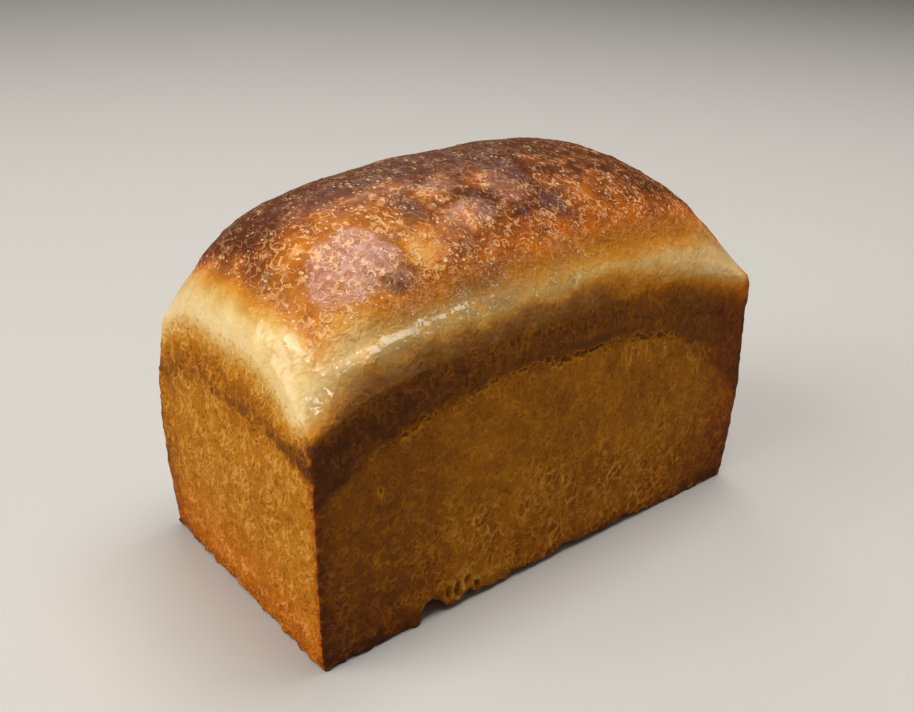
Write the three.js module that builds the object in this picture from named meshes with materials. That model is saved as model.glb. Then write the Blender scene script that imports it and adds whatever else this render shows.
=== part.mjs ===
import * as THREE from 'three';
import { mergeVertices } from 'three/addons/utils/BufferGeometryUtils.js';

// A tall tin loaf: four walls moulded by the tin, a shoulder that swelled over the tin's rim, and a
// domed crust. X runs along the loaf, its front wall faces -Y, and it stands on Z = 0.

// Driving dimensions, in millimetres.
const loafLength = 218; // between the end walls at their foot
const loafWidth = 116.2; // between the long walls at their foot
const cornerHeight = 94.3; // mean height of the four upper corners
const cornerLean = 3.5; // how far the right-hand corners stand above that mean
const wallArch = { front: 11.6, back: 25, left: 18, right: 17.7 }; // rise of each wall's top at its middle
const domeRise = 21.8; // rise of the crust above those arches
const domeLean = 0.18; // share by which the dome is higher at the right than at the middle
const wallBulge = 1.8; // how far the walls bow out half way up
const rimFlare = 0.4; // how far the walls stand out at their top
const footRadius = 1.6; // rounding of the lower edges
const uprightRadius = 2; // rounding of the upright edges

// How round the arches and the dome are: a high roundness keeps level for longer before it falls to the
// edge, and a low fullness falls more steeply there.
const archRoundness = { along: 5.5, across: 2.8 };
const domeForm = {
  left: { roundness: 2.45, fullness: 0.42 },
  right: { roundness: 1.9, fullness: 0.69 },
  front: { roundness: 2.2, fullness: 0.435 },
  back: { roundness: 2.25, fullness: 0.41 },
};
const bulgeFullness = 0.85;

// Each upper corner: the share by which the crust is held down beside it, its edge radius at the top, and
// how far its tip flares out.
const corners = {
  frontLeft: { dip: 0.3, topRadius: 2.6, flare: 0.3 },
  frontRight: { dip: 0.3, topRadius: 2.6, flare: 1.3 },
  backLeft: { dip: 0.39, topRadius: 9, flare: 0 },
  backRight: { dip: 0.4, topRadius: 8, flare: 0.3 },
};
const dipReach = 15; // how far from a corner the crust is held down
const flareForm = { reach: 10, belowTip: 4, breadth: 7 }; // along the walls, and down the upright edge
const topRounding = { from: 0.72, to: 0.98 }; // shares of the height where an upright edge changes radius

// The shoulder: a rolled lip along the rim, then a shallow valley before the dome.
const sideShoulder = {
  lip: 1.1,
  lipInset: 3,
  lipBreadth: 2.5,
  valley: 1.8,
  valleyInset: 8.5,
  valleyBreadth: 3.2,
};
const endShoulder = {
  lip: 0.9,
  lipInset: 4,
  lipBreadth: 3.4,
  valley: 2.1,
  valleyInset: 11,
  valleyBreadth: 4,
};
const shoulderFade = { from: 5, to: 26 }; // distances from a corner between which the shoulder builds up

// The dough let go of the tin along an arched line on each wall, and swelled a little above it. The
// drops are to the lower and the higher end of the wall's axis.
const sideRelease = { middle: 90, dropLow: 22, dropHigh: 45 };
const endRelease = { middle: 82, dropLow: 6, dropHigh: 6 };
const freeSwell = { out: 0.9, above: 8, breadth: 6, cornerFade: 30, rimFade: 0.95 };

// Gentle lumps: the height of each, half waves along and across the crust, and where the wave starts.
const crustLumps = [
  { height: 0.35, along: 2.3, across: 1.4, start: 1 },
  { height: 0.3, along: 4, across: -1.7, start: 0 },
];
const wallLump = { height: 0.3, length: 107, slant: 2 };

// The front lower edge stands a little off the table, with chips torn out of it when the loaf left the
// tin.
const footLift = { height: 1.6, from: -57, to: 55, fade: 5 };
const chips = [
  { at: -62.5, halfWidth: 5, height: 7 },
  { at: -44, halfWidth: 3, height: 2.5 },
  { at: 6, halfWidth: 5, height: 2.6 },
  { at: 42, halfWidth: 5, height: 2 },
];
const chipReach = 8; // how far under the loaf a chip runs

// How finely the faces are divided, and how strongly the divisions crowd towards the edges, where the
// form turns.
const alongSteps = 44;
const acrossSteps = 26;
const upSteps = 18;
const faceCrowding = 0.7;
const wallCrowding = 0.5;

const { abs, cos, exp, hypot, max, min, PI, sign, sin, sqrt } = Math;
const halfLength = loafLength / 2;
const halfWidth = loafWidth / 2;
const bell = (distance, breadth) => exp(-((distance / breadth) ** 2));
const smooth = (from, to, value) => THREE.MathUtils.smoothstep(value, from, to);
const blend = THREE.MathUtils.lerp;

function cornerNear(s, t) {
  if (t < 0) return s < 0 ? corners.frontLeft : corners.frontRight;
  return s < 0 ? corners.backLeft : corners.backRight;
}

// How much of the dome is left at a share of the way to a side: 1 in the middle, 0 at the wall.
function domeShare(share, form) {
  return max(0, 1 - abs(share) ** form.roundness) ** form.fullness;
}

// The lip and the valley at a distance in from one wall, faded out towards the walls beside it.
function shoulderRoll(shoulder, inset, fromCorner) {
  const lip = shoulder.lip * bell(inset - shoulder.lipInset, shoulder.lipBreadth);
  const valley = shoulder.valley * bell(inset - shoulder.valleyInset, shoulder.valleyBreadth);
  return (lip - valley) * smooth(shoulderFade.from, shoulderFade.to, fromCorner);
}

// Height of the crust over the point at shares s and t of the half length and half width.
function crustHeight(s, t) {
  const fromEnd = halfLength * (1 - abs(s));
  const fromSide = halfWidth * (1 - abs(t));
  const heldDown = 1 - cornerNear(s, t).dip * bell(hypot(fromEnd, fromSide), dipReach);
  const alongMiddle = blend(wallArch.front, wallArch.back, (1 + t) / 2);
  const acrossMiddle = blend(wallArch.left, wallArch.right, (1 + s) / 2);
  const archAlong = alongMiddle * (1 - abs(s) ** archRoundness.along);
  const archAcross = acrossMiddle * (1 - abs(t) ** archRoundness.across);
  const domeAlong = domeShare(s, s < 0 ? domeForm.left : domeForm.right);
  const domeAcross = domeShare(t, t < 0 ? domeForm.front : domeForm.back);
  const dome = domeRise * (1 + domeLean * s) * domeAlong * domeAcross;
  const rise = (archAlong + archAcross + dome) * heldDown;
  const sideRoll = shoulderRoll(sideShoulder, fromSide, fromEnd);
  const endRoll = shoulderRoll(endShoulder, fromEnd, fromSide);
  const lumps = crustLumps.reduce(
    (sum, lump) => sum + lump.height * sin(PI * (lump.along * s + lump.across * t) + lump.start),
    0,
  );
  return cornerHeight + cornerLean * s + rise + sideRoll + endRoll + lumps * domeAlong * domeAcross;
}

// How far a wall stands out at a share w of its height, at a distance along it from its middle.
function wallOut(release, w, height, along, halfSpan) {
  const drop = along < 0 ? release.dropLow : release.dropHigh;
  const releaseHeight = release.middle - drop * abs(along / halfSpan) ** 3;
  const bow = wallBulge * sin(PI * w) ** bulgeFullness + rimFlare * w;
  const swell = freeSwell.out * bell(height - releaseHeight - freeSwell.above, freeSwell.breadth);
  const cornerShare = smooth(0, freeSwell.cornerFade, halfSpan - abs(along));
  const rimShare = 1 - smooth(freeSwell.rimFade, 1, w);
  const wave = sin((2 * PI * along) / wallLump.length + wallLump.slant * w);
  return bow + swell * cornerShare * rimShare + wallLump.height * wave * sin(PI * w);
}

// How far the front lower edge stands off the table.
function edgeLift(x) {
  const started = smooth(footLift.from - footLift.fade, footLift.from, x);
  const ended = smooth(footLift.to, footLift.to + footLift.fade, x);
  const torn = chips.reduce((sum, chip) => sum + chip.height * bell(x - chip.at, chip.halfWidth), 0);
  return footLift.height * (started - ended) + torn;
}

// Takes even steps of a plain block, u and v from -1 to 1 and level from 0 to 1, to a place on the loaf.
function placeOnLoaf(u, v, level) {
  const s = blend(u, sin((PI / 2) * u), faceCrowding);
  const t = blend(v, sin((PI / 2) * v), faceCrowding);
  const w = blend(level, (1 - cos(PI * level)) / 2, wallCrowding);
  const fromEnd = halfLength * (1 - abs(s));
  const fromSide = halfWidth * (1 - abs(t));
  const corner = cornerNear(s, t);

  const underShare = t < 0 ? max(0, 1 - fromSide / chipReach) : 0;
  const lift = edgeLift(halfLength * s) * underShare;
  const z = blend(lift, crustHeight(s, t), w);
  const aboveFoot = min(footRadius, z - lift);
  const footInset = footRadius - sqrt(max(0, footRadius ** 2 - (footRadius - aboveFoot) ** 2));

  const downEdge = bell(cornerHeight * (1 - w) - flareForm.belowTip, flareForm.breadth);
  const flare = corner.flare * bell(hypot(fromEnd, fromSide), flareForm.reach) * downEdge;
  const reachX = halfLength + wallOut(endRelease, w, z, halfWidth * t, halfWidth) + flare - footInset;
  const reachY = halfWidth + wallOut(sideRelease, w, z, halfLength * s, halfLength) + flare - footInset;
  const radius = blend(uprightRadius, corner.topRadius, smooth(topRounding.from, topRounding.to, w));
  return roundUpright(reachX * s, reachY * t, reachX - radius, reachY - radius, z);
}

// Pulls a point that lies beyond the flat runs of two walls onto the round of the edge between them.
function roundUpright(x, y, flatX, flatY, z) {
  const overX = max(0, abs(x) - flatX);
  const overY = max(0, abs(y) - flatY);
  if (overX === 0 || overY === 0) return new THREE.Vector3(x, y, z);
  const pull = max(overX, overY) / hypot(overX, overY);
  return new THREE.Vector3(sign(x) * (flatX + overX * pull), sign(y) * (flatY + overY * pull), z);
}

function makeLoaf() {
  const block = new THREE.BoxGeometry(2, 2, 1, alongSteps, acrossSteps, upSteps);
  block.deleteAttribute('normal');
  block.deleteAttribute('uv');
  const form = mergeVertices(block);
  const points = form.attributes.position;
  for (let i = 0; i < points.count; i += 1) {
    const place = placeOnLoaf(points.getX(i), points.getY(i), points.getZ(i) + 0.5);
    points.setXYZ(i, place.x, place.y, place.z);
  }
  form.computeBoundingBox();
  const middle = form.boundingBox.getCenter(new THREE.Vector3());
  form.translate(-middle.x, -middle.y, -form.boundingBox.min.z);
  form.computeVertexNormals();
  const crust = new THREE.MeshStandardMaterial({ color: '#a5601f', roughness: 0.5, metalness: 0 });
  const loaf = new THREE.Mesh(form, crust);
  loaf.name = 'loaf';
  return loaf;
}

const tinLoaf = new THREE.Group();
tinLoaf.add(makeLoaf());

export default tinLoaf;
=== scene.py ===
from math import pi, radians

import bpy
import numpy as np
from mathutils import Euler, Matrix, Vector, noise


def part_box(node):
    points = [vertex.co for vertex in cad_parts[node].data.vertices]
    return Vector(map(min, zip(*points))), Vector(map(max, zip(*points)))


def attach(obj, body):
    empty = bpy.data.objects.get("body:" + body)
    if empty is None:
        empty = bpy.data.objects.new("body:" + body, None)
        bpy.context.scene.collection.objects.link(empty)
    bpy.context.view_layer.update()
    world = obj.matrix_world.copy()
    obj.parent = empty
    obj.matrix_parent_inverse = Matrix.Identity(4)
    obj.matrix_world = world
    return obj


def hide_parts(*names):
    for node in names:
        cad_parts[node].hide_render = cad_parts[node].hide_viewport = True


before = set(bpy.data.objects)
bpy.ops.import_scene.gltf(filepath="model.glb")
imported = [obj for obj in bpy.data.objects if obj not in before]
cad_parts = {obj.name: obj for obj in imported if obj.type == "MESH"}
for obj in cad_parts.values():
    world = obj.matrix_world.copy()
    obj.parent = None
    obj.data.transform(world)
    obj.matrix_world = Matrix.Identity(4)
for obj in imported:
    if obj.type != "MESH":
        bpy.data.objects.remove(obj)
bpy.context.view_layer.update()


# The crust: dough that rose past the rim of a tall tin. It arches along each wall, rolls over the rim
# as a soft shoulder, and domes up in the middle, and the tin's corners held it down. All sizes are in
# millimetres, and the loaf's front wall faces -Y.
loaf_length = 218.0  # between the end walls at their foot
loaf_width = 116.2  # between the long walls at their foot
half_length, half_width = loaf_length / 2, loaf_width / 2
corner_height = 94.3  # mean height of the four upper corners
corner_lean = 3.5  # how far the right-hand corners stand above that mean
wall_arch = {"front": 11.6, "back": 25.0, "left": 18.0, "right": 17.7}  # rise of each wall's top
arch_roundness = {"along": 5.5, "across": 2.8}
dome_rise = 21.8  # rise of the crust above those arches
dome_lean = 0.18  # share by which the dome is higher at the right than at the middle
dome_form = {  # roundness keeps the dome level for longer, low fullness drops it more steeply
    "left": {"roundness": 2.45, "fullness": 0.42},
    "right": {"roundness": 1.9, "fullness": 0.69},
    "front": {"roundness": 2.2, "fullness": 0.435},
    "back": {"roundness": 2.25, "fullness": 0.41},
}
corner_form = {  # how much the crust is held down, the upright edge's radius at the top, the flare
    "front left": {"dip": 0.3, "top_radius": 2.6, "flare": 0.3},
    "front right": {"dip": 0.3, "top_radius": 2.6, "flare": 1.3},
    "back left": {"dip": 0.39, "top_radius": 9.0, "flare": 0.0},
    "back right": {"dip": 0.4, "top_radius": 8.0, "flare": 0.3},
}
dip_reach = 15.0  # how far from a corner the crust is held down
side_shoulder = {  # heights of the rolled lip and of the valley behind it, and where they lie
    "lip": 1.1,
    "lip_inset": 3.0,
    "lip_breadth": 2.5,
    "valley": 1.8,
    "valley_inset": 8.5,
    "valley_breadth": 3.2,
}
end_shoulder = {
    "lip": 0.9,
    "lip_inset": 4.0,
    "lip_breadth": 3.4,
    "valley": 2.1,
    "valley_inset": 11.0,
    "valley_breadth": 4.0,
}
shoulder_fade = (5.0, 26.0)  # distances from a corner between which the shoulder builds up
crust_lumps = [  # height, half waves along, half waves across, start of the wave
    (0.35, 2.3, 1.4, 1.0),
    (0.3, 4.0, -1.7, 0.0),
]


def bell(distance, breadth):
    return np.exp(-((distance / breadth) ** 2))


def smooth(start, end, value):
    share = np.clip((value - start) / (end - start), 0, 1)
    return share * share * (3 - 2 * share)


def blend(first, last, share):
    return first + (last - first) * share


def by_corner(s, t, size):
    front = np.where(s < 0, corner_form["front left"][size], corner_form["front right"][size])
    back = np.where(s < 0, corner_form["back left"][size], corner_form["back right"][size])
    return np.where(t < 0, front, back)


def dome_share(share, low, high):
    """How much of the dome is left at a share of the way to a side: 1 in the middle, 0 at the wall."""
    roundness = np.where(share < 0, dome_form[low]["roundness"], dome_form[high]["roundness"])
    fullness = np.where(share < 0, dome_form[low]["fullness"], dome_form[high]["fullness"])
    return np.maximum(0, 1 - np.abs(share) ** roundness) ** fullness


def shoulder_roll(shoulder, inset, from_corner):
    """The rolled lip and the shallow valley behind it, at a distance in from one wall."""
    lip = shoulder["lip"] * bell(inset - shoulder["lip_inset"], shoulder["lip_breadth"])
    valley = shoulder["valley"] * bell(inset - shoulder["valley_inset"], shoulder["valley_breadth"])
    return (lip - valley) * smooth(*shoulder_fade, from_corner)


def crust_height(s, t):
    """Height of the crust at shares s and t of the half length and half width."""
    from_end = half_length * (1 - np.abs(s))
    from_side = half_width * (1 - np.abs(t))
    held_down = 1 - by_corner(s, t, "dip") * bell(np.hypot(from_end, from_side), dip_reach)
    along = blend(wall_arch["front"], wall_arch["back"], (1 + t) / 2)
    along = along * (1 - np.abs(s) ** arch_roundness["along"])
    across = blend(wall_arch["left"], wall_arch["right"], (1 + s) / 2)
    across = across * (1 - np.abs(t) ** arch_roundness["across"])
    dome_along = dome_share(s, "left", "right")
    dome_across = dome_share(t, "front", "back")
    dome = dome_rise * (1 + dome_lean * s) * dome_along * dome_across
    side_roll = shoulder_roll(side_shoulder, from_side, from_end)
    end_roll = shoulder_roll(end_shoulder, from_end, from_side)
    roll = side_roll + end_roll
    lumps = sum(rise * np.sin(pi * (a * s + c * t) + start) for rise, a, c, start in crust_lumps)
    corner = corner_height + corner_lean * s
    return corner + (along + across + dome) * held_down + roll + lumps * dome_along * dome_across


# The four walls, moulded smooth by the metal. Each bows out slightly half way up. The dough let go
# of the tin along an arched line on each wall, and swelled a little above it.
wall_bulge = 1.8  # how far the walls bow out half way up
bulge_fullness = 0.85
rim_flare = 0.4  # how far the walls stand out at their top
side_release = {"middle": 90.0, "drop_low": 22.0, "drop_high": 45.0}  # the line's height and ends
end_release = {"middle": 82.0, "drop_low": 6.0, "drop_high": 6.0}
release_steepness = 3
free_swell = {"out": 0.9, "above": 8.0, "breadth": 6.0, "corner_fade": 30.0, "rim_fade": 0.95}
wall_lump = {"height": 0.3, "length": 107.0, "slant": 2.0}


def release_height(release, along, half_span):
    drop = np.where(along < 0, release["drop_low"], release["drop_high"])
    return release["middle"] - drop * np.abs(along / half_span) ** release_steepness


def wall_out(release, w, height, along, half_span):
    """How far a wall stands out at a share w of its height, at a distance along from its middle."""
    bow = wall_bulge * np.sin(pi * w) ** bulge_fullness + rim_flare * w
    above = height - release_height(release, along, half_span) - free_swell["above"]
    corner_share = smooth(0, free_swell["corner_fade"], half_span - np.abs(along))
    rim_share = 1 - smooth(free_swell["rim_fade"], 1, w)
    swell = free_swell["out"] * bell(above, free_swell["breadth"]) * corner_share * rim_share
    wave = np.sin(2 * pi * along / wall_lump["length"] + wall_lump["slant"] * w)
    return bow + swell + wall_lump["height"] * wave * np.sin(pi * w)


# The lower front edge, torn a little as the loaf came out of the tin: it stands just off the table,
# with one deep notch and some chips where the crust stuck to the metal.
foot_lift = {"height": 1.6, "start": -57.0, "end": 55.0, "fade": 5.0}
chips = [  # place along the edge, half width, height, steepness
    (-63.0, 4.6, 7.6, 4),
    (-58.5, 3.0, 2.6, 2),
    (-44.0, 2.6, 2.5, 2),
    (-35.0, 2.0, 0.8, 2),
    (-21.0, 1.6, 1.3, 2),
    (-13.0, 1.2, 0.9, 2),
    (5.5, 3.0, 2.4, 2),
    (10.5, 2.2, 2.0, 2),
    (17.5, 1.4, 1.3, 2),
    (24.0, 1.1, 1.0, 2),
    (28.0, 2.0, 0.8, 2),
    (34.5, 1.3, 1.5, 2),
    (42.0, 3.6, 2.0, 2),
    (48.5, 1.2, 1.2, 2),
    (53.5, 1.0, 0.8, 2),
]
chip_reach = 8.0  # how far under the loaf a chip runs


def edge_lift(x):
    started = smooth(foot_lift["start"] - foot_lift["fade"], foot_lift["start"], x)
    ended = smooth(foot_lift["end"], foot_lift["end"] + foot_lift["fade"], x)
    torn = sum(height * np.exp(-(np.abs((x - at) / half) ** steep)) for at, half, height, steep in chips)
    return foot_lift["height"] * (started - ended) + torn


# The upright edges and the lower ones, rounded by the bends of the tin. Towards the top the uprights
# open out into rounder corners, whose tips flare a little.
foot_radius = 1.6  # rounding of the lower edges
upright_radius = 2.0  # rounding of the upright edges below
top_rounding = (0.72, 0.98)  # shares of the height between which an upright edge opens out
flare_reach = 10.0  # of a corner's tip, along the walls
flare_below_tip = 4.0
flare_breadth = 7.0  # of a corner's tip, down the upright edge
hardly_any = 1e-9  # keeps a division by a length of nothing from failing


def place_on_loaf(s, t, w):
    """The place on the loaf of shares s and t of the half length and half width, and w of the height."""
    from_end = half_length * (1 - np.abs(s))
    from_side = half_width * (1 - np.abs(t))
    under_share = np.where(t < 0, np.maximum(0, 1 - from_side / chip_reach), 0)
    lift = edge_lift(half_length * s) * under_share
    z = blend(lift, crust_height(s, t), w)
    above_foot = np.minimum(foot_radius, z - lift)
    foot_inset = foot_radius - np.sqrt(np.maximum(0, foot_radius**2 - (foot_radius - above_foot) ** 2))
    down_edge = bell(corner_height * (1 - w) - flare_below_tip, flare_breadth)
    flare = by_corner(s, t, "flare") * bell(np.hypot(from_end, from_side), flare_reach) * down_edge
    out = flare - foot_inset
    reach_x = half_length + wall_out(end_release, w, z, half_width * t, half_width) + out
    reach_y = half_width + wall_out(side_release, w, z, half_length * s, half_length) + out
    radius = blend(upright_radius, by_corner(s, t, "top_radius"), smooth(*top_rounding, w))
    x, y = reach_x * s, reach_y * t
    flat_x, flat_y = reach_x - radius, reach_y - radius
    over_x, over_y = np.maximum(0, np.abs(x) - flat_x), np.maximum(0, np.abs(y) - flat_y)
    rounded = (over_x > 0) & (over_y > 0)
    pull = np.maximum(over_x, over_y) / np.maximum(hardly_any, np.hypot(over_x, over_y))
    x = np.where(rounded, np.sign(x) * (flat_x + over_x * pull), x)
    y = np.where(rounded, np.sign(y) * (flat_y + over_y * pull), y)
    return np.stack([x, y, z], -1)


# The skin of the loaf as one closed mesh: a fine net over the crust, rows of faces down the walls,
# and a few rings in under the edge before one flat face closes the underside.
columns_along, columns_across, rows_up = 232, 126, 88
top_crowding = 0.25  # how strongly the net's lines crowd towards its edges, where the form turns
row_crowding = 0.45
under_rings = (0.988, 0.965, 0.93, 0.885, 0.84, 0.78)  # shares of the way out from the middle
metre = 1000  # millimetres


def crowded(count):
    even = np.linspace(-1, 1, count + 1)
    return blend(even, np.sin(pi / 2 * even), top_crowding)


top_grids = np.meshgrid(crowded(columns_along), crowded(columns_across), indexing="ij")
top_s, top_t = (grid.ravel() for grid in top_grids)
rim_steps = [(i, 0) for i in range(columns_along)]
rim_steps += [(columns_along, j) for j in range(columns_across)]
rim_steps += [(i, columns_across) for i in range(columns_along, 0, -1)]
rim_steps += [(0, j) for j in range(columns_across, 0, -1)]
rim = np.array([i * (columns_across + 1) + j for i, j in rim_steps])
rim_s, rim_t = top_s[rim], top_t[rim]
levels = np.linspace(1, 0, rows_up + 1)[1:]
row_w = blend(levels, (1 - np.cos(pi * levels)) / 2, row_crowding)
top_count = len(top_s)
wall_count = len(rim) * rows_up
under_count = len(rim) * len(under_rings)
all_s = np.concatenate([top_s] + [rim_s] * rows_up + [rim_s * ring for ring in under_rings])
all_t = np.concatenate([top_t] + [rim_t] * rows_up + [rim_t * ring for ring in under_rings])
all_w = np.concatenate([np.ones(top_count), np.repeat(row_w, len(rim)), np.zeros(under_count)])
skin = place_on_loaf(all_s, all_t, all_w)
x, y, z = skin.T

loops = [rim]
for row in range(rows_up + len(under_rings)):
    loops.append(top_count + row * len(rim) + np.arange(len(rim)))
line_starts = np.arange(columns_along)[:, None] * (columns_across + 1)
near_corners = (line_starts + np.arange(columns_across)).ravel()
far_corners = near_corners + columns_across + 1
faces = [np.stack([near_corners, far_corners, far_corners + 1, near_corners + 1], -1)]
for upper, lower in zip(loops, loops[1:]):
    faces.append(np.stack([upper, lower, np.roll(lower, -1), np.roll(upper, -1)], -1))
faces = np.concatenate(faces).tolist() + [loops[-1][::-1].tolist()]

loaf_mesh = bpy.data.meshes.new("loaf_crust")
loaf_mesh.from_pydata((skin / metre).tolist(), [], faces)
loaf_mesh.update()
outward = np.zeros(len(skin) * 3)
loaf_mesh.vertex_normals.foreach_get("vector", outward)
outward = outward.reshape(-1, 3)


# The lie of the skin: what part of the loaf each point belongs to, how far it is from the rims, and
# how far above the line where the dough let go of the tin. That line wanders a little, as dough does.
def lumpiness(size, start):
    """Soft lumps of about that size in millimetres, from -1 to 1, different for each start."""
    places = skin / size + start
    return np.array([noise.noise(Vector(place)) for place in places])


def past(distance, start, end):
    """0 before the start and 1 past the end."""
    return smooth(start, end, distance)


underneath = np.arange(len(skin)) >= top_count + wall_count
on_wall = (all_w < 1) & ~underneath
on_top = ~on_wall & ~underneath
long_wall = on_wall & (np.abs(all_t) == 1)
front_wall, back_wall = on_wall & (all_t == -1), on_wall & (all_t == 1)
left_wall, right_wall = on_wall & (all_s == -1), on_wall & (all_s == 1)
left_in, right_in = half_length * (1 + all_s), half_length * (1 - all_s)
front_in, back_in = half_width * (1 + all_t), half_width * (1 - all_t)
below_rim = np.where(on_wall, crust_height(all_s, all_t) - z, 0)
far_above = 40  # what counts as the height above the line, anywhere but on a wall
hump_of_line = 2.2 * bell(x + 24, 17) * front_wall
drop_of_line = 4.5 * past(y, 12, 42) * left_wall
line_height = hump_of_line - drop_of_line + 1.2 * lumpiness(17, 5.5)
line_height = line_height + np.where(
    long_wall,
    release_height(side_release, half_length * all_s, half_length),
    release_height(end_release, half_width * all_t, half_width),
)
above_line = np.where(on_wall, z - line_height, far_above)
crown = past(front_in, 7, 16) * past(left_in, 5, 14)  # 1 on the crown, falling to 0 on the shoulder
crown = crown * past(right_in, 3, 10) * past(back_in, 3, 10) * on_top
from_upright = np.minimum(front_in, back_in) + np.minimum(left_in, right_in)
upright_edge = bell(from_upright, 3.0) * on_wall


# The skin's relief, out of the surface: soft lumps over the crown, where gas pushed the dough up, and
# wrinkles and dimples in the walls, where it stuck to the tin and slid. Most of these are in the left
# end wall and in a lacy patch low on the long walls.
def layered(layers):
    """Lumps laid over each other, each given as height, size and start."""
    return sum(height * lumpiness(size, start) for height, size, start in layers)


def ridges(size, start, width):
    """Thin winding ridges, 1 along their tops."""
    return 1 - past(np.abs(lumpiness(size, start)), 0, width)


crown_lumps = [(0.45, 17, 1.0), (0.3, 7.5, 2.0), (0.2, 3.4, 3.0)]  # height, size, start
wall_unevenness = [(0.2, 9, 4.0), (0.08, 3.0, 5.0)]
shoulder_lumps = [(0.25, 7, 18.0), (0.12, 4, 19.0)]
wrinkle_height, dimple_depth = 0.45, 0.5
edge_unevenness = 0.45
low_down = past(z + 9 * lumpiness(20, 2.5), 62, 30)
lacy_middle = past(np.abs(x - 10) + 14 * lumpiness(18, 3.2), 92, 50)
lacy = low_down * past(lumpiness(24, 1.2), -0.5, 0.1) * lacy_middle * long_wall
wrinkled = np.where(long_wall, 0.3 + 0.7 * lacy, 1.0) * on_wall * past(below_rim, 2, 12)
wall_wrinkles = ridges(6.0, 6.0, 0.2) * past(lumpiness(11, 9.5), -0.35, 0.25)
wall_dimples = past(lumpiness(4.6, 12.0), 0.2, 0.55)
relief = crown * layered(crown_lumps)
relief += ~underneath * (1 - crown) * layered(wall_unevenness)
relief += on_top * (1 - crown) * layered(shoulder_lumps)
relief += wrinkled * (wrinkle_height * wall_wrinkles - dimple_depth * wall_dimples)
relief += edge_unevenness * upright_edge * lumpiness(4.5, 7.0)


# The line where the dough let go: a thin groove round the loaf, and just above it the lip that the
# free dough left as it swelled out.
groove_depth, groove_breadth = 0.25, 0.9
lip_height, lip_above, lip_breadth = 0.2, 2.2, 1.3
lip_of_line = bell(above_line - lip_above, lip_breadth) * on_wall
relief += lip_height * lip_of_line - groove_depth * bell(above_line, groove_breadth) * on_wall


# Creases at the near left corner, where the shoulder of the front and that of the left end meet and
# the dough folded as it rose. They come and go along their way, and are lower on the front shoulder.
crease_turns = [(-105, -30), (-101.5, -40), (-99, -47), (-96, -51.5), (-90, -53.3), (-80, -54), (-70, -54)]
crease_rise, crease_breadth = 0.85, 2.4
hollow_depth, hollow_away, hollow_breadth = 0.3, 4.6, 1.8  # the hollow that runs beside a crease
beside_crease = np.full(len(skin), np.inf)
for (x0, y0), (x1, y1) in zip(crease_turns, crease_turns[1:]):
    run_squared = (x1 - x0) ** 2 + (y1 - y0) ** 2
    share = np.clip(((x - x0) * (x1 - x0) + (y - y0) * (y1 - y0)) / run_squared, 0, 1)
    away = np.hypot(x - blend(x0, x1, share), y - blend(y0, y1, share))
    beside_crease = np.minimum(beside_crease, away)
creased = past(lumpiness(5.5, 22.0), -0.45, 0.15) * on_top
crease = crease_rise * bell(beside_crease, crease_breadth)
crease = crease - hollow_depth * bell(beside_crease - hollow_away, hollow_breadth)
relief += crease * creased * (1 - 0.6 * past(x, -90, -76))


# The browning at the rims, from 0 for pale dough to 1 for nearly black. The walls browned against the
# tin, and the shoulder, sheltered by its rim, stayed cream. Each run goes from below the rim (minus)
# over the rim (0) and in across the crust (plus), as pairs of a distance and how brown it is there.
outer_runs = {
    "front, left": [(-14, 0.79), (-8, 0.78), (-4, 0.70), (0, 0.58), (2, 0.46), (4, 0.31), (6, 0.16), (9, 0)],
    "front, middle": [(-12, 0.77), (-3, 0.73), (0, 0.66), (1.2, 0.54), (2.7, 0.22), (4.5, 0.10), (6, 0)],
    "front, right": [(-14, 0.72), (-10, 0.69), (-6, 0.60), (-3, 0.52), (-0.6, 0.43), (0.9, 0.14), (2.2, 0)],
    "front, far right": [(-16, 0.74), (-10, 0.62), (-6, 0.40), (-3, 0.22), (0, 0)],
    "left": [(-28, 0.50), (-20, 0.55), (-14, 0.51), (-9, 0.37), (-4, 0.15), (0, 0.02), (2, 0)],
    "right": [(-14, 0.60), (-6, 0.55), (0, 0.46), (2, 0.36), (4, 0.15), (6, 0)],
    "back": [(-12, 0.64), (-4, 0.52), (0, 0.40), (3, 0.25), (6, 0)],
}
inner_runs = {
    "front, left": [(0, 0), (8, 0.04), (12, 0.12), (15, 0.22), (20, 0.35), (26, 0.5), (31, 1)],
    "front, middle": [
        (0, 0),
        (2.8, 0.08),
        (4.6, 0.32),
        (7, 0.41),
        (12, 0.46),
        (17, 0.55),
        (22, 0.64),
        (28, 1),
    ],
    "front, right": [(0, 0), (3, 0.04), (7, 0.16), (12, 0.32), (15, 0.44), (20, 0.58), (26, 1)],
    "left": [(0, 0), (3, 0.08), (5, 0.20), (7, 0.31), (9, 0.45), (11, 0.58), (14, 0.78), (18, 1)],
    "right": [(0, 0.2), (3, 0.35), (6, 0.46), (9, 0.54), (14, 0.72), (18, 1)],
    "back": [(0, 0.2), (5, 0.30), (9, 0.45), (14, 0.70), (18, 1)],
}
wander = 1.2 * lumpiness(14, 3.0) + 0.7 * lumpiness(5, 8.0)
over_front, over_back = front_in - below_rim + wander, back_in - below_rim + wander
over_left, over_right = left_in - below_rim + wander, right_in - below_rim + wander
from_left, from_right = past(x, -90, -60), past(x, 66, 90)


def run_of(distance, run):
    places, browned = zip(*run)
    return np.interp(distance, places, browned)


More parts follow.
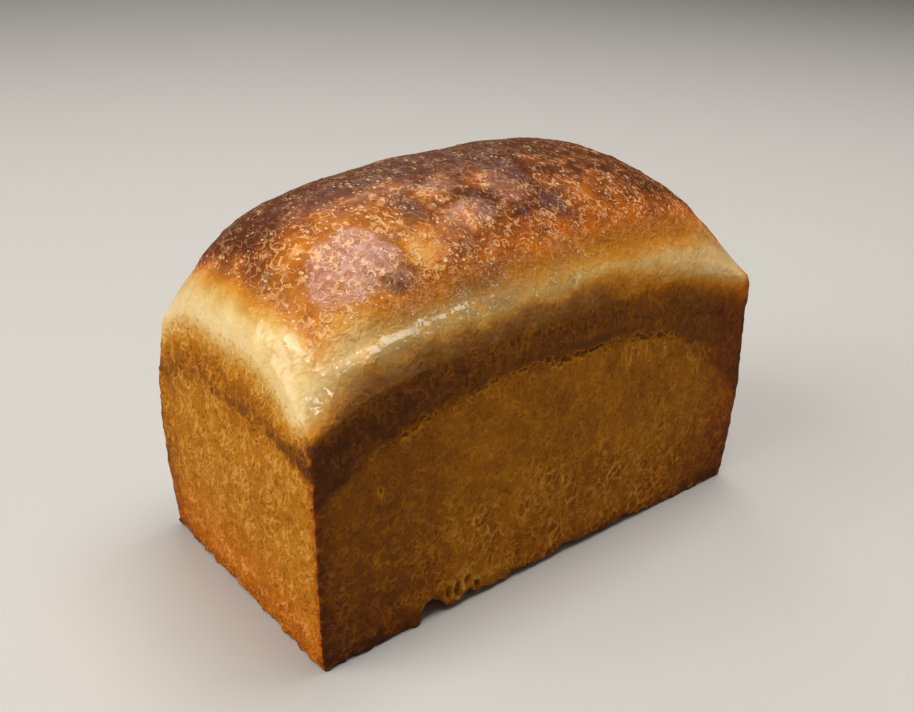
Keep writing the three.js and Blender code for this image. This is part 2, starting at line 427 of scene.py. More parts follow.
outer = blend(
    run_of(over_front + 1.2 * past(-x, 96, 104), outer_runs["front, left"]),
    run_of(over_front, outer_runs["front, middle"]),
    from_left,
)
outer = blend(outer, run_of(over_front, outer_runs["front, right"]), past(x, 15, 60))
outer = blend(outer, run_of(over_front, outer_runs["front, far right"]), past(x, 55, 82))
outer_left = run_of(over_left - 1.0 * past(y, 5, 35), outer_runs["left"])
outer = np.maximum(outer, outer_left - 0.06 * past(-y, 20, 45) * left_wall)
outer = np.maximum(outer, run_of(over_right, outer_runs["right"]))
outer = np.maximum(outer, run_of(over_back, outer_runs["back"]))

inner_front = run_of(over_front, inner_runs["front, left"])
inner = blend(inner_front, run_of(over_front, inner_runs["front, middle"]), from_left)
inner = blend(inner, run_of(over_front, inner_runs["front, right"]), from_right)
slower = 6 * (1 - past(y, -38, -18))  # at the near left corner the browning starts further in
inner_left = run_of(over_left - slower + 2.6 * lumpiness(9, 21.0), inner_runs["left"])
inner_right = run_of(over_right, inner_runs["right"])
inner_back = run_of(over_back, inner_runs["back"])
inner = np.minimum(np.minimum(inner, inner_left), np.minimum(inner_right, inner_back))


# The browning of the crown, which stood nearest to the oven's top. It is darker at the right, and blotched,
# because the thin crust over each gas bubble browned faster or slower. Its darkening towards the back is
# painted shade, where the crown turns away from the light.
def oval(across, up, half_across, half_up):
    return np.exp(-((across / half_across) ** 2) - (up / half_up) ** 2)


bake_spots = [  # x, y, reach along, reach across, change
    (-82, -12, 12, 11, -0.20),
    (-60, -13, 12, 9, -0.17),
    (-77, -3, 11, 8, -0.10),
    (-90, -38, 10, 9, -0.18),
    (-49, -34, 8, 7, -0.22),
    (-31, -14, 6, 5, -0.20),
    (-27, -29, 6, 6, -0.20),
    (-62, -41, 7, 3, 0.24),
    (-20, -41, 8, 4, 0.08),
    (21, 8, 24, 13, 0.20),
    (-94, -18, 7, 8, -0.12),
    (-92, -46, 8, 5, -0.10),
    (-94, -29, 7, 6, -0.20),
    (-53, -40, 7, 4, -0.10),
    (-42, -17, 6, 6, 0.10),
    (8, -19, 8, 10, 0.22),
    (-15, -25, 9, 8, 0.10),
    (2, -37, 9, 5, 0.14),
    (13, -33, 6, 6, 0.19),
    (26, -41, 9, 3.5, 0.16),
    (18, -48, 12, 3, 0.05),
    (36, -30, 15, 9, -0.12),
    (47, -38, 8, 6, -0.08),
    (-52, -37, 9, 8, -0.12),
    (66, -36, 12, 8, 0.08),
    (-8, 4, 30, 11, 0.15),
    (-20, 28, 40, 12, 0.08),
    (-50, 2, 15, 7, -0.10),
    (12, -2, 8, 8, 0.10),
    (-96, 18, 5, 22, 0.16),
    (-65, 28, 26, 10, 0.12),
    (37, 21, 20, 8, 0.12),
    (-46, 22, 9, 7, 0.10),
]
crown_browning_and_shade = 0.70 - 0.06 * past(-x, 20, 50) * past(-y, 5, 25)  # paler at the near left
crown_browning_and_shade += 0.19 * past(y, -6, 26)  # darker towards the back: painted shade
crown_browning_and_shade += 0.10 * lumpiness(21, 7.7)
crown_browning_and_shade += 0.03 * past(x, 20, 70)  # and towards the right
crown_browning_and_shade += 0.09 * past(x, 0, 45) * past(y, -36, -16)
crown_browning_and_shade += 0.07 * lumpiness(12, 4.5)
crown_browning_and_shade += 0.06 * lumpiness(6, 2.2)
for at_x, at_y, reach_x, reach_y, change in bake_spots:
    crown_browning_and_shade += change * oval(x - at_x, y - at_y, reach_x, reach_y)
rim_browning_and_shade = np.maximum(outer, np.minimum(inner, crown_browning_and_shade) * on_top)


# Browner places along the rim: on the front shoulder, at the near left corner, and in the band under the
# rim, where the swollen dough stood out past the metal. The darker patch on the front face of the near left
# corner's tip is painted shade.
near_corner_shoulder = bell(over_front - 0.5, 3) * past(x, -98, -88) * (1 - past(x, -66, -52))
band_at_right = bell(over_front + 6, 4) * past(x, 48, 62) * (1 - past(x, 86, 98)) * front_wall
band_at_left = bell(over_front + 5, 5) * (1 - past(x, -70, -45)) * front_wall
rim_marks = [  # change, where
    (0.14, oval(x + 34, y + 49, 12, 4.5) * on_top),
    (0.07, oval(x + 106, y + 38, 5, 9)),
    # painted shade on the front face of the near left corner's tip
    (0.10, oval(x + 99, y + 57.5, 8, 3)),
    (0.07, near_corner_shoulder),
    (0.08, band_at_right),
    (0.05, band_at_left),
]
for change, where in rim_marks:
    rim_browning_and_shade += change * where


# The golden walls, browned evenly through the metal, and darker towards the ends and near the foot, where
# the darkening is painted shade under the loaf's edge. Above the line the free dough is as brown as the rim,
# and a thin pale crease runs along the line.
golden_sides = 0.527 + 0.05 * past(x, 70, 100) + 0.11 * past(-x, 40, 88)
golden_ends = 0.45 + 0.05 * past(y, 36, 54) - 0.03 * past(-y, 36, 54)
# painted shade along the foot, where the loaf meets the table
shade_at_the_foot = 1 - past(z, 1, 10)
lower_sides = (1 - past(z, 15, 50)) * long_wall
pale_lace = lacy * (1 - past(x, 40, 80)) * past(x, -75, -50)
lower_ends_of_sides = (0.05 * past(-x, 55, 90) + 0.07 * past(x, 60, 90)) * (1 - past(z, 12, 45)) * long_wall
golden = np.where(long_wall, golden_sides, golden_ends)
golden += 0.14 * shade_at_the_foot + 0.05 * lower_sides - 0.05 * pale_lace
golden += lower_ends_of_sides
golden += 0.05 * past(-x, 100, 108) * front_wall + 0.035 * lumpiness(16, 5.2) + 0.02 * lumpiness(7, 6.1)
into_the_band = past(above_line, -3 - 5 * past(x, 55, 80) * long_wall, 2)
browning_and_shade = np.where(on_wall, blend(golden, rim_browning_and_shade, into_the_band), rim_browning_and_shade)

left_middle = (1 - past(np.abs(y), 36, 54)) * left_wall
brown_line = bell(above_line - 2.5, 4.5) * past(lumpiness(8, 7.1), -0.5, 0.2) * left_middle
pale_swell = bell(above_line - 5, 4) * long_wall
pale_stripe = bell(above_line - 7, 1.5) * past(x, -15, 0) * (1 - past(x, 45, 60)) * front_wall
pale_crease = bell(above_line - 1.6, 1.1) * past(lumpiness(9, 6.6), -0.4, 0.3) * long_wall
dark_blot = oval(x + 74, z - 94, 4.5, 2.5) * front_wall
right_tip = past(x, 97, 105) * past(z, 84, 91) * front_wall
right_of_front = past(x, 86, 104) * (1 - past(z, 55, 75)) * front_wall
back_of_left_end = past(y, 36, 56) * (1 - past(z, 30, 75)) * left_wall
scorched_edge = upright_edge * past(lumpiness(3.5, 4.4), 0.25, -0.1)
wall_marks = [  # change, where
    (0.14, brown_line),
    (-0.03, pale_swell),
    (-0.06, pale_stripe),
    (-0.12, pale_crease),
    (0.12, dark_blot),
    (-0.07, right_tip),
    (0.03, right_of_front),
    (0.08, back_of_left_end),
    (0.16, scorched_edge),
]
for change, where in wall_marks:
    browning_and_shade += change * where
bake_underneath = 0.52
browning_and_shade = np.where(underneath, bake_underneath, browning_and_shade)


# Thin skins over gas bubbles just under the crust: smooth and faintly raised. Their pinkish colour is a
# painted sheen of the glaze. Beside them lie a few dusky spots, where the crust over a bubble is scorched,
# with a painted purplish reflection on them.
thin_skins = [  # x, y, reach along, reach across, strength
    (-73.5, -28.5, 15.5, 14, 1),
    (-24, -12, 9, 6, 0.35),
    (-22, -29, 11, 6, 0.35),
    (-1, -21, 7, 9, 0.3),
    (-12, 40, 12, 7, 0.5),
    (48, 34, 12, 8, 0.5),
]
# dark scorched spots, painted with a purplish reflection
dusky_spots_with_reflection = [  # x, y, reach along, reach across
    (-42, -17, 6, 7),
    (9, -14, 6, 12),
    (10, 4, 6, 6),
    (14, -33, 7, 7),
    (-63, -41, 8, 4),
]
thin_skin_rise = 0.35
broad_wave, small_wave = 0.45 * lumpiness(13, 11.0), 0.3 * lumpiness(5, 12.0)
thin = np.zeros(len(skin))
for at_x, at_y, reach_x, reach_y, strength in thin_skins:
    away = np.hypot((x - at_x) / reach_x, (y - at_y) / reach_y) + broad_wave + small_wave
    thin = np.maximum(thin, strength * (1 - past(away, 0.72, 1.15)) * on_top)
relief += thin_skin_rise * thin
dusk_and_reflection_wave = 0.5 * lumpiness(8, 13.0)
dusk_and_reflection = np.zeros(len(skin))
for at_x, at_y, reach_x, reach_y in dusky_spots_with_reflection:
    away = np.hypot((x - at_x) / reach_x, (y - at_y) / reach_y) + dusk_and_reflection_wave
    dusk_and_reflection = np.maximum(dusk_and_reflection, (1 - past(away, 0.4, 1.2)) * on_top)


# Blisters: small round bubbles that came up through the crust as it set. They are scattered over the
# crown, but not over its broad thin skin, and are paler than the crust.
blister_count = 70
blister_radius = (1.2, 2.2)
blister_rise = 0.35
draw = np.random.default_rng(7)
blister = np.zeros(len(skin))
on_crown = np.flatnonzero((crown > 0.3) & (thin < 0.5))
for _ in range(blister_count):
    centre = skin[draw.choice(on_crown)]
    radius = draw.uniform(*blister_radius)
    away = np.linalg.norm(skin - centre, axis=1) / radius
    blister = np.maximum(blister, np.clip(1 - away**2, 0, 1) * on_top)
relief += blister_rise * blister


# Pits: a row of little holes along the line where the dough let go of the tin, streaks where it
# dragged under the line, and a few holes low on the front wall and on its shoulder.
def hole(across, up, half_across, half_up, strength):
    """One pit as a cone, so that its edge lies where the value passes a half."""
    away = np.hypot(across / half_across, up / half_up)
    return np.clip(1 - away / 2, 0, 1) * strength


pit_depth = 0.4
pit_rows = [  # wall, distance along it, half the row's length, strength
    (front_wall, x, 90, 1.0),
    (back_wall, x, 90, 1.0),
    (left_wall, y, 44, 0.7),
    (right_wall, y, 44, 0.7),
]
row_pits = {"spacing": (1.8, 4.2), "half_across": (0.8, 2.0), "off_line": 0.9, "flatness": (0.5, 0.9)}
streaks = {
    "count": 26,
    "along": (30, 82),
    "above_line": (-11, -2),
    "half_across": (0.35, 0.6),
    "half_up": (1.2, 3.0),
    "strength": 0.72,
}
foot_holes = {
    "count": 30,
    "along": (-45, 104),
    "height": (0.4, 4.0),
    "half_across": (0.6, 1.7),
    "half_up": (0.4, 0.9),
    "strength": 0.9,
}
lone_pit_x, lone_pit_z = -85, 65
shoulder_holes = [  # x, distance in from the rim, half across
    (-48, 4.0, 1.1),
    (-44.5, 3.2, 0.8),
    (5, 3.0, 1.2),
    (8, 3.6, 0.8),
    (-96, 3.5, 0.6),
]
shoulder_hole_flatness = 0.6
pit = np.zeros(len(skin))
for wall, along, span, strength in pit_rows:
    at = -span
    while at < span:
        at += draw.uniform(*row_pits["spacing"])
        half_across = draw.uniform(*row_pits["half_across"])
        up = above_line - draw.normal(0, row_pits["off_line"])
        half_up = half_across * draw.uniform(*row_pits["flatness"])
        fainter_ends = (1 - 0.5 * past(at, 50, 70)) * (0.8 + 0.3 * past(at, -30, -5))
        dug = hole(along - at, up, half_across, half_up, strength * fainter_ends)
        pit = np.maximum(pit, dug * wall)
for _ in range(streaks["count"]):
    across = x - draw.uniform(*streaks["along"])
    up = above_line - draw.uniform(*streaks["above_line"])
    half_across = draw.uniform(*streaks["half_across"])
    half_up = draw.uniform(*streaks["half_up"])
    dug = hole(across, up, half_across, half_up, streaks["strength"])
    pit = np.maximum(pit, dug * front_wall)
dug = hole(x - lone_pit_x, z - lone_pit_z, half_across=1.0, half_up=1.4, strength=1.0)
pit = np.maximum(pit, dug * front_wall)
for _ in range(foot_holes["count"]):
    across = x - draw.uniform(*foot_holes["along"])
    up = z - draw.uniform(*foot_holes["height"])
    half_across = draw.uniform(*foot_holes["half_across"])
    half_up = draw.uniform(*foot_holes["half_up"])
    dug = hole(across, up, half_across, half_up, foot_holes["strength"])
    pit = np.maximum(pit, dug * front_wall)
for at, inset, half_across in shoulder_holes:
    half_up = shoulder_hole_flatness * half_across
    dug = hole(x - at, over_front - inset, half_across, half_up, strength=0.9)
    pit = np.maximum(pit, dug * on_top)
relief -= pit_depth * smooth(0.3, 0.75, pit)


# Open cells beside the notch, where the crust stayed on the tin and the holes of the crumb show, with pale
# rims and insides painted darker as shade in the holes. Next to them is one smooth low swelling.
torn_cells = [  # x, height, half across, half up
    (-54.5, 9.0, 1.5, 3.0),
    (-50.3, 8.6, 2.0, 3.4),
    (-45.6, 10.5, 1.9, 2.8),
    (-51.5, 3.4, 1.0, 1.0),
    (-41, 7.0, 1.2, 1.8),
]
cell_rim = 1.35  # where the rim of a cell stands, in shares of its half across
cell_rim_breadth, cell_rim_height, cell_depth = 0.35, 0.35, 1.0
swelling_height = 0.5
for at, height, half_across, half_up in torn_cells:
    away = np.hypot((x - at) / half_across, (z - height) / half_up)
    rim_of_cell = bell(away - cell_rim, cell_rim_breadth)
    relief += front_wall * (cell_rim_height * rim_of_cell - cell_depth * (1 - smooth(0.4, 1.1, away)))
    # insides darker as painted shade, rims paler
    browning_and_shade += front_wall * (0.1 * (1 - smooth(0.6, 1.0, away)) - 0.16 * rim_of_cell)
swelling = oval(x + 34, z - 10, 6, 4.5) * front_wall
relief += swelling_height * swelling
browning_and_shade -= 0.1 * swelling


# Flakes and gaps along the foot, where crust stayed on the tin, and a paler patch round the notch,
# which was torn open after it had baked.
foot = (1 - past(z, 1, 6)) * past(np.maximum(np.abs(all_s), np.abs(all_t)), 0.9, 1)
broad_flakes = past(lumpiness(4.0, 13.0) + 0.7 * lumpiness(11, 17.0), 0.05, 0.6)
small_flakes = 0.8 * past(lumpiness(2.3, 23.0), 0.1, 0.45)
ragged = foot * np.maximum(broad_flakes, small_flakes)
ragged_lift, foot_lump_height = 1.3, 0.75
foot_lumps = past(lumpiness(3.4, 14.0), 0.0, 0.5) + 0.6 * lumpiness(9, 16.0)
relief += foot_lump_height * foot * foot_lumps * on_wall
browning_and_shade -= 0.16 * foot * past(lumpiness(3.0, 15.0), 0.0, 0.4) * on_wall
beside_notch = oval(x + 46, z - 9, 20, 11) * front_wall
browning_and_shade -= 0.05 * beside_notch


# The finished skin, with its relief raised and sunk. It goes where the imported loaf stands, and its
# underside rests on the table, except where the foot is ragged.
low, high = (np.array(corner_place) * metre for corner_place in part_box("loaf"))
shift = (low + high) / 2 - (skin.min(0) + skin.max(0)) / 2
shift[2] = low[2] - z.min()
placed = skin + outward * relief[:, None] + shift
placed[:, 2] = np.maximum(placed[:, 2], low[2]) + ragged_lift * ragged
placed /= metre
loaf_mesh.vertices.foreach_set("co", placed.ravel())
loaf_mesh.polygons.foreach_set("use_smooth", [True] * len(loaf_mesh.polygons))


# What each point of the skin is like, kept in the mesh for the crust's finish: how brown it is, with painted
# shade at the foot, at the near left corner, in the open cells and at the back of the crown; how glossy and
# reddish it is; how olive it is, with painted shade in the valley behind the front lip; how dusky it is,
# with a painted reflection; and where there are curls, pores, fibres and the lacy net.
shoulder_gloss = past(np.minimum(front_in, back_in), 0, 2.5)
crown_dulls = 0.75 - 0.35 * thin + 0.12 * past(x, 20, 60)
top_shine = shoulder_gloss * (1 - crown_dulls * crown)
end_wall_shine = 0.7 * (1 - past(below_rim, 0, 7)) * (left_wall | right_wall)
wall_curls = np.where(long_wall, 0.5 + 0.4 * low_down, 1.0)
# olive dough darkened with painted shade, in the valley behind the front lip and at the near left corner
olive_and_shade = bell(over_front - 5, 4) * (1 - 0.35 * past(x, -45, -10)) * (1 - 0.9 * past(x, -15, 35))
red_crown = 0.85 - 0.45 * past(-x, 10, 60) * past(-y, -4, 14)
red_shoulder = 0.25 * bell(over_front - 13, 5) * past(left_in, 25, 50)
red_foot = (0.7 - 0.35 * long_wall) * (1 - past(z, 4, 45)) * (1 - 0.8 * beside_notch)
red_right_end = np.maximum(0.8 * past(x, 97, 105), 0.5 * past(x, 80, 98))
ruddy = crown * red_crown + red_shoulder * on_top
ruddy = np.maximum(ruddy, 0.3 * past(x, 20, 60) * past(over_front, -9, -4))
ruddy = np.maximum(ruddy, (red_foot + 0.5 * upright_edge) * on_wall)
ruddy = np.maximum(ruddy, red_right_end * front_wall)
kept_values = {
    "browning_and_shade": browning_and_shade,
    "crown": crown,
    "thin": thin,
    "blister": blister,
    "dusk_and_reflection": dusk_and_reflection,
    "curled": np.where(on_wall, wall_curls, 0.5 + 0.5 * crown) * past(browning_and_shade, 0.08, 0.3),
    "lace": lacy * on_wall,
    "porous": np.where(left_wall | right_wall, 1.0, 0.7) * on_wall,
    "pit": pit,
    "creased": bell(beside_crease, 4.5) * on_top,
    "fibre": bell(above_line - 11, 8) * (1 - 0.5 * past(x, 40, 70)) * long_wall,
    "shine": np.where(on_wall, end_wall_shine, top_shine) * ~underneath,
    "olive_and_shade": olive_and_shade * past(left_in, -2, 6) * on_top,
    "ruddy": ruddy,
}
for name, values in kept_values.items():
    loaf_mesh.attributes.new(name, "FLOAT", "POINT").data.foreach_set("value", values.astype(float))
loaf_mesh.update()


# The crust's finish: baked dough, matt on the walls and glazed on the shoulder, where the steam of the
# oven gelled its starch. Each of its patterns follows in a section of its own.
crust = bpy.data.materials.new("baked_crust")
crust.use_nodes = True
tree = crust.node_tree
shader = tree.nodes["Principled BSDF"]


def add_node(kind, inputs, output=0, **settings):
    node = tree.nodes.new("ShaderNode" + kind)
    for name, value in settings.items():
        setattr(node, name, value)
    for socket, value in inputs.items():
        if isinstance(value, bpy.types.NodeSocket):
            tree.links.new(value, node.inputs[socket])
        else:
            node.inputs[socket].default_value = value
    return node.outputs[output]


def value_of(name):
    return add_node("Attribute", {}, "Fac", attribute_name=name)


def combine(operation, a, b=0.0):
    return add_node("Math", {0: a, 1: b}, operation=operation)


def sum_up(first, *others):
    for other in others:
        first = combine("ADD", first, other)
    return first


def times(first, *others):
    for other in others:
        first = combine("MULTIPLY", first, other)
    return first


def highest(a, b):
    return combine("MAXIMUM", a, b)


def fade(value, start, end, low=0.0, high=1.0):
    limits = {"Value": value, "From Min": start, "From Max": end, "To Min": low, "To Max": high}
    return add_node("MapRange", limits, interpolation_type="SMOOTHSTEP")


def stretch(place, factors):
    return add_node("VectorMath", {0: place, 1: factors}, operation="MULTIPLY")


def cloud(place, size, detail=2.0, roughness=0.5):
    """Soft noise from 0 to 1, with lumps of about that size in millimetres."""
    settings = {"Vector": place, "Scale": 1 / size, "Detail": detail, "Roughness": roughness}
    return add_node("TexNoise", settings)


def bend(place, size, amount):
    """The place pushed about by soft noise, so that what is drawn there winds."""
    pushed = add_node("TexNoise", {"Vector": place, "Scale": 1 / size, "Detail": 1.0}, "Color")
    offset = add_node("VectorMath", {0: pushed, 1: (0.5, 0.5, 0.5)}, operation="SUBTRACT")
    moved = {0: offset, 1: (amount, amount, amount), 2: place}
    return add_node("VectorMath", moved, operation="MULTIPLY_ADD")


def cells(place, size, output="Distance", **settings):
    return add_node("TexVoronoi", {"Vector": place, "Scale": 1 / size}, output, **settings)


def colour_over(under, over, share):
    return add_node("Mix", {0: share, 6: under, 7: over}, 2, data_type="RGBA")


place = stretch(add_node("TexCoord", {}, "Object"), (metre, metre, metre))
bent = bend(place, size=5.0, amount=5.0)
on_the_crown = value_of("crown")
off_the_crown = combine("SUBTRACT", 1.0, on_the_crown)
thin_skin = value_of("thin")
shine = value_of("shine")
mottle = sum_up(cloud(place, size=9.0, detail=1.6), -0.5)
speckle = sum_up(cloud(bent, size=1.3), -0.5)


# Winding wrinkles, which dough leaves as it stretches and dries: fine strands of skin, a little proud
# and paler. On the walls they are drawn out along the way in which the dough slid up the tin.
slide_angle = -35  # degrees
wall_draw = (1, 1, 0.45)
crown_draw = (1, 0.68, 1)


def winding_lines(place, size, width):
    """Thin winding lines where soft noise passes its middle value, 1 along them and below 0 beside them."""
    from_line = combine("ABSOLUTE", sum_up(cloud(place, size, detail=1.0), -0.5))
    beside = fade(from_line, 2.6 * width, 1.1 * width)
    return combine("SUBTRACT", times(fade(from_line, width, 0.0), 1.4), times(beside, 0.4))


turned = add_node("VectorRotate", {"Vector": place, "Axis": (1, 0, 0), "Angle": radians(slide_angle)})
drawn_out = stretch(turned, wall_draw)
strokes = winding_lines(bend(drawn_out, size=4.5, amount=4.5), size=4.2, width=0.10)
fine_strokes = winding_lines(bend(drawn_out, size=2.5, amount=2.5), size=2.0, width=0.12)
strokes = times(highest(strokes, times(fine_strokes, 0.6)), off_the_crown)
crown_place = stretch(place, crown_draw)
wrinkles = winding_lines(bend(crown_place, size=5.0, amount=5.0), size=5.2, width=0.05)
fine_wrinkles = winding_lines(bend(crown_place, size=3.0, amount=3.0), size=2.8, width=0.055)
wrinkles = times(highest(wrinkles, times(fine_wrinkles, 0.85)), on_the_crown)
curl_patches = fade(cloud(place, size=6.0, detail=1.0), 0.37, 0.56)
lines = times(sum_up(strokes, wrinkles), curl_patches)


# Curls: pieces of small bent rings, the rims of bubbles that burst and dried. They lie thickest on
# the crown and on the end walls.
def arcs(place, size, half_width, patch_size):
    """Pieces of rings in patches. The size, half the line's width and the patches are in millimetres."""
    cell_colour = cells(bend(place, 0.7 * size, 0.35 * size), size, "Color")
    from_middle = cell_colour.node.outputs["Distance"]
    radius = fade(cell_colour, 0, 1, 0.14, 0.45)
    from_ring = combine("ABSOLUTE", combine("SUBTRACT", from_middle, radius))
    drawn = fade(from_ring, half_width / size, 0.3 * half_width / size)
    pieces = fade(cloud(place, 0.6 * size, detail=0.0), 0.44, 0.51)
    return times(drawn, pieces, fade(cloud(place, patch_size), 0.40, 0.53))


crown_curls = highest(
    arcs(crown_place, size=6.0, half_width=0.46, patch_size=15.0),
    arcs(crown_place, size=3.9, half_width=0.36, patch_size=11.0),
)
other_curls = highest(
    arcs(place, size=6.4, half_width=0.5, patch_size=12.0),
    times(arcs(place, size=3.6, half_width=0.36, patch_size=9.0), 0.7),
)
curls = highest(times(crown_curls, on_the_crown), times(other_curls, off_the_crown))
lines = times(highest(lines, curls), value_of("curled"))
pale_and_glinting_lines = highest(lines, 0.0)


# Pinhead blisters, pale and round, besides the larger ones in the mesh: steam that came up through
# the crown's crust. There are few on the broad thin skin.
def round_dots(size, least, most, patch_size):
    """Dots whose radius, as a share of the size, goes from least to most from patch to patch."""
    radius = fade(cloud(place, patch_size), 0.35, 0.65, least, most)
    from_middle = cells(bend(crown_place, size=2.0, amount=0.5), size)
    return fade(combine("SUBTRACT", from_middle, radius), 0.05, -0.05)


dots = highest(
    round_dots(size=3.9, least=-0.02, most=0.17, patch_size=9.0),
    round_dots(size=2.2, least=0.05, most=0.24, patch_size=8.0),
)
dots = times(dots, on_the_crown, combine("SUBTRACT", 1.0, times(thin_skin, 0.8)))
blisters = highest(dots, times(value_of("blister"), 0.3))


# Pores and small dimples in the walls, where gas was caught between the dough and the tin, and the pits
# along the line, which are pale at the rim. All of them are painted darker inside, as shade in the holes.
pore_size = fade(cloud(place, size=7.0), 0.42, 0.75, low=-0.02, high=0.22)
from_pore = cells(bend(place, size=3.0, amount=2.0), size=2.6)
pores = fade(combine("SUBTRACT", from_pore, pore_size), 0.04, -0.05)
dimples = fade(cloud(bend(place, size=3.0, amount=3.0), size=1.9, detail=1.0), 0.58, 0.68)
pores = times(highest(pores, times(dimples, 0.6)), value_of("porous"))
pit_field = sum_up(value_of("pit"), times(speckle, 0.9))
pits = fade(pit_field, 0.45, 0.7)
pit_rims = times(fade(pit_field, 0.12, 0.36), combine("SUBTRACT", 1.0, pits))


# The lacy net of shallow cells low on the long walls, where the crust stayed stuck to the tin, and
# the fine upright fibres over the swell, where the dough was drawn up past the rim.
net_place = bend(bend(drawn_out, size=6.0, amount=4.0), size=2.0, amount=1.5)
cell_edge = cells(net_place, size=4.4, feature="DISTANCE_TO_EDGE")
net_lines = sum_up(times(fade(cell_edge, 0.17, 0.05), 1.4), -0.4)
net_patches = fade(cloud(place, size=9.0, detail=1.0), 0.42, 0.62)
net = times(net_lines, net_patches, value_of("lace"))
fibre_draw = (1, 1, 0.14)
fibre_place = bend(stretch(place, fibre_draw), size=3.0, amount=1.0)
fibres = times(sum_up(cloud(fibre_place, size=1.1), -0.5), value_of("fibre"))


# The colours of the baked dough: cream, then gold, then the browns of crust, up to nearly black. The
# strands, the fibres and the rims of cells and pits stay paler than the crust round them; on the crown the
# strands and blisters are painted paler still, as highlights of the glaze.
browning = [  # how brown, colour
    (0.0, (0.79, 0.60, 0.28)),
    (0.2, (0.60, 0.33, 0.07)),
    (0.4, (0.49, 0.182, 0.008)),
    (0.6, (0.255, 0.082, 0.005)),
    (0.8, (0.105, 0.032, 0.006)),
    (1.0, (0.034, 0.012, 0.005)),
]
brownest = 0.88
ruddy_tint = (1.12, 0.76, 0.6, 1)
# scorched brown with a painted purplish reflection
scorch_and_reflection_colour = (0.125, 0.045, 0.034, 1)
# the thin skins' pinkish colour is a painted sheen, and the glints on their curls are painted highlights
thin_skin_sheen_colour = (0.48, 0.21, 0.135, 1)
thin_skin_glints = (0.84, 0.54, 0.39, 1)
# olive dough darkened with painted shade
olive_dough_in_shade = (0.31, 0.215, 0.08, 1)
# paler than the dough they lie on, and paler still as painted highlights of the glaze
pale_strands_and_glints = (0.79, 0.44, 0.19, 1)
blister_and_glint_colour = (0.88, 0.56, 0.31, 1)
mottled = times(mottle, fade(on_the_crown, 0, 1, low=0.12, high=0.5))
lined = times(lines, fade(on_the_crown, 0, 1, low=-0.22, high=-0.12))
level = sum_up(value_of("browning_and_shade"), mottled)
level = sum_up(level, times(speckle, 0.14))
level = sum_up(level, lined, times(fibres, -0.3))
# pits and pores painted darker as shade in the holes; the rims of pits and the net paler
level = sum_up(level, times(pits, 0.06), times(pores, 0.15), times(pit_rims, -0.16), times(net, -0.15), 0.03)
level = combine("MINIMUM", level, brownest)
colours = tree.nodes.new("ShaderNodeValToRGB")
while len(colours.color_ramp.elements) < len(browning):
    colours.color_ramp.elements.new(0.5)
for stop, (how_brown, colour) in zip(colours.color_ramp.elements, browning):
    stop.position, stop.color = how_brown, (*colour, 1)
tree.links.new(level, colours.inputs["Fac"])
tinting = {0: value_of("ruddy"), 6: colours.outputs["Color"], 7: ruddy_tint}
colour = add_node("Mix", tinting, 2, data_type="RGBA", blend_type="MULTIPLY")
# the dusky spots, with their painted reflection
colour = colour_over(colour, scorch_and_reflection_colour, times(value_of("dusk_and_reflection"), 0.7))
fine_glinting_lines = highest(pale_and_glinting_lines, arcs(place, size=3.4, half_width=0.4, patch_size=7.0))
# the thin skins' painted sheen, with painted glints along their curls
thin_skin_with_sheen = colour_over(thin_skin_sheen_colour, thin_skin_glints, times(fine_glinting_lines, 0.75))
thin_skin_sheen_share = times(thin_skin, fade(cloud(bent, size=3.2), 0.36, 0.56, low=0.55, high=0.95))
colour = colour_over(colour, thin_skin_with_sheen, thin_skin_sheen_share)
# olive dough with painted shade, in the valley behind the front lip
olive_and_shade_share = times(value_of("olive_and_shade"), fade(cloud(place, size=9.0), 0.35, 0.6, low=0.4, high=0.85))
colour = colour_over(colour, olive_dough_in_shade, olive_and_shade_share)
# strands and blisters on the crown, painted paler as highlights of the glaze
strand_and_glint_share = times(pale_and_glinting_lines, on_the_crown, fade(level, 0.45, 0.8, low=0.62, high=0.22))
colour = colour_over(colour, pale_strands_and_glints, strand_and_glint_share)
blister_and_glint_share = times(blisters, fade(level, 0.5, 0.84, low=0.8, high=0.55))
colour = colour_over(colour, blister_and_glint_colour, blister_and_glint_share)
tree.links.new(colour, shader.inputs["Base Color"])


# The feel of the crust under the glaze: the same strands, blisters, pits and net, in millimetres of
# height, on a fine grain and a coarse one, which are lower where the shoulder and the ends shine.
height = sum_up(times(blisters, 0.25), times(lines, 0.3), times(pits, -0.4))
height = sum_up(height, times(pores, -0.4), times(net, 0.5))
fine_grain = cloud(place, size=0.9, detail=3.0, roughness=0.6)
coarse_grain = cloud(bent, size=2.6, detail=1.0)
grain = sum_up(times(fine_grain, 0.25), times(coarse_grain, 1.0))
grain_share = fade(times(shine, off_the_crown), 0.0, 1.0, low=1.0, high=0.5)
height = sum_up(height, times(grain, grain_share))
bump = add_node("Bump", {"Strength": 1.0, "Distance": 1 / metre, "Height": height})
tree.links.new(bump, shader.inputs["Normal"])
roughness = 0.7
tree.links.new(sum_up(roughness, times(speckle, 0.2)), shader.inputs["Roughness"])


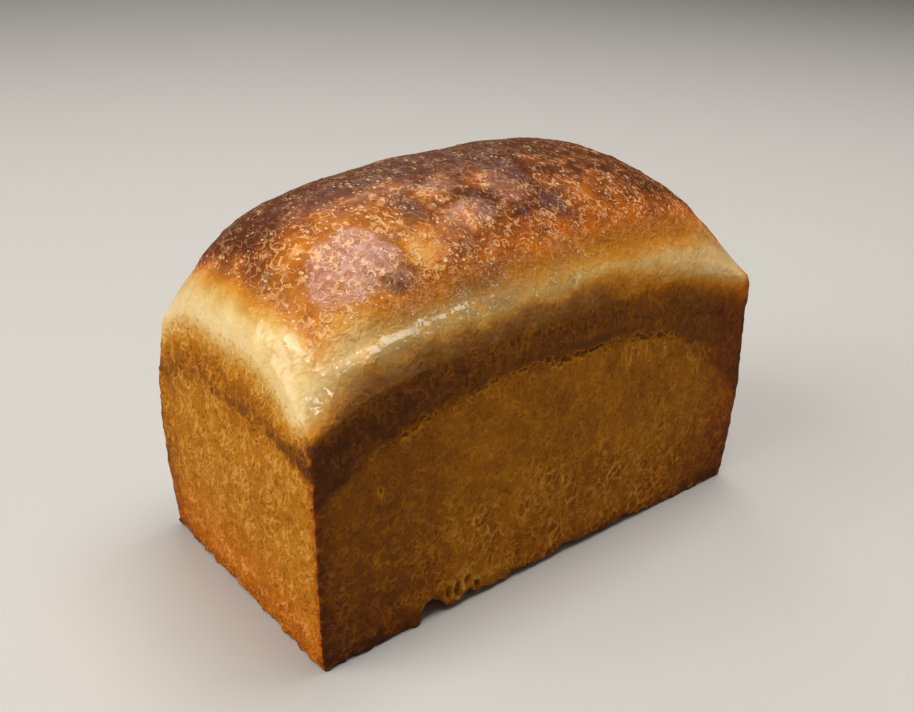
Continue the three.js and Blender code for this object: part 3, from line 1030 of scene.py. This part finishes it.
# The glaze of gelled starch, on the shoulder and faintly on the crown. It lies smoother than the crust
# under it, in soft folds, and is whole over the creases at the near corner.
beside_creases = value_of("creased")
folds = times(cloud(bent, size=6.0, detail=1.0), fade(beside_creases, 0, 1, low=1.05, high=0.4))
small_folds = cloud(bend(place, size=2.0, amount=2.0), size=2.2, detail=0.0)
folds = sum_up(folds, times(small_folds, 0.17))
glaze_height = sum_up(folds, times(blisters, 0.2), times(wrinkles, 0.12), times(pits, -0.4))
glaze = add_node("Bump", {"Strength": 1.0, "Distance": 1 / metre, "Height": glaze_height})
tree.links.new(glaze, shader.inputs["Coat Normal"])
glossy = times(shine, fade(cloud(place, size=10.0), 0.36, 0.55, low=0.35, high=1.0))
tree.links.new(highest(glossy, beside_creases), shader.inputs["Coat Weight"])
shader.inputs["Coat Roughness"].default_value = 0.17
shader.inputs["Specular IOR Level"].default_value = 0.06


# The whole loaf: one piece of bread, uncut, so its crust goes all round. It rides on the one body that
# there is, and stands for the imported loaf.
loaf_mesh.materials.append(crust)
loaf = bpy.data.objects.new("tin_loaf", loaf_mesh)
bpy.context.scene.collection.objects.link(loaf)
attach(loaf, "root")
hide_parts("loaf")


# The table: a plain pale top, wide enough to fill the view, of matt paint. It isn't part of the loaf,
# which only stands on it.
table_reach = 4  # metres, from the loaf to each side
table_corners = [
    (-table_reach, -table_reach, 0),
    (table_reach, -table_reach, 0),
    (table_reach, table_reach, 0),
    (-table_reach, table_reach, 0),
]
table_mesh = bpy.data.meshes.new("table_top")
table_mesh.from_pydata(table_corners, [], [(0, 1, 2, 3)])
table = bpy.data.objects.new("table_top", table_mesh)
bpy.context.scene.collection.objects.link(table)
pale = bpy.data.materials.new("pale_table")
pale.use_nodes = True
paint = pale.node_tree.nodes["Principled BSDF"]
paint.inputs["Base Color"].default_value = (0.5, 0.49, 0.475, 1)
paint.inputs["Roughness"].default_value = 0.8
table_mesh.materials.append(pale)


# The daylight: large soft windows high on the left, overhead and behind, two small bright ones that
# give the glaze its streaks, and a dim even room round them. Each faces the middle of the loaf.
windows = [  # name, place in metres, size in metres, watts, colour
    ("left_window", (-2.0, 0.5, 1.4), 2.0, 55, (1, 0.95, 0.87)),
    ("top_window", (0.5, -0.05, 2.2), 1.2, 34, (1, 0.97, 0.92)),
    ("far_window", (1.6, 3.2, 2.6), 2.0, 30, (1, 0.97, 0.93)),
    ("skylight", (-0.59, -0.55, 2.03), 0.36, 8.5, (1, 0.97, 0.93)),
    ("front_window", (1.05, -1.6, 1.45), 0.22, 1.7, (1, 0.97, 0.93)),
]
middle_of_loaf = Vector((0, 0, 0.07))
for name, where, size, watts, tint in windows:
    light = bpy.data.lights.new(name, "AREA")
    light.shape, light.size, light.energy, light.color = "SQUARE", size, watts, tint
    window = bpy.data.objects.new(name, light)
    window.location = where
    window.rotation_euler = (middle_of_loaf - Vector(where)).to_track_quat("-Z", "Y").to_euler()
    bpy.context.scene.collection.objects.link(window)
room = bpy.data.worlds.new("room")
room.use_nodes = True
room_light = room.node_tree.nodes["Background"]
room_light.inputs["Color"].default_value = (1, 0.95, 0.88, 1)
room_light.inputs["Strength"].default_value = 0.10
bpy.context.scene.world = room
bpy.context.scene.view_settings.view_transform = "Standard"


# The camera stands to the left of the front, a little above the loaf, and looks down along its front
# wall, so that the left end, the front and the crown all show.
camera_place = (-242.2, -292.4, 239.3)  # millimetres
camera_pitch, camera_yaw, camera_roll = 24.07, -39.1, 0.73  # degrees: down, round to the left, tilt
lens = bpy.data.cameras.new("camera")
lens.sensor_width, lens.lens = 36, 38.82
camera = bpy.data.objects.new("camera", lens)
camera.location = Vector(camera_place) / metre
aim = Euler((radians(90 - camera_pitch), 0, radians(camera_yaw))).to_matrix()
tilt = Euler((0, 0, radians(camera_roll))).to_matrix()
camera.rotation_mode = "QUATERNION"
camera.rotation_quaternion = (aim @ tilt).to_quaternion()
bpy.context.scene.collection.objects.link(camera)
bpy.context.scene.camera = camera
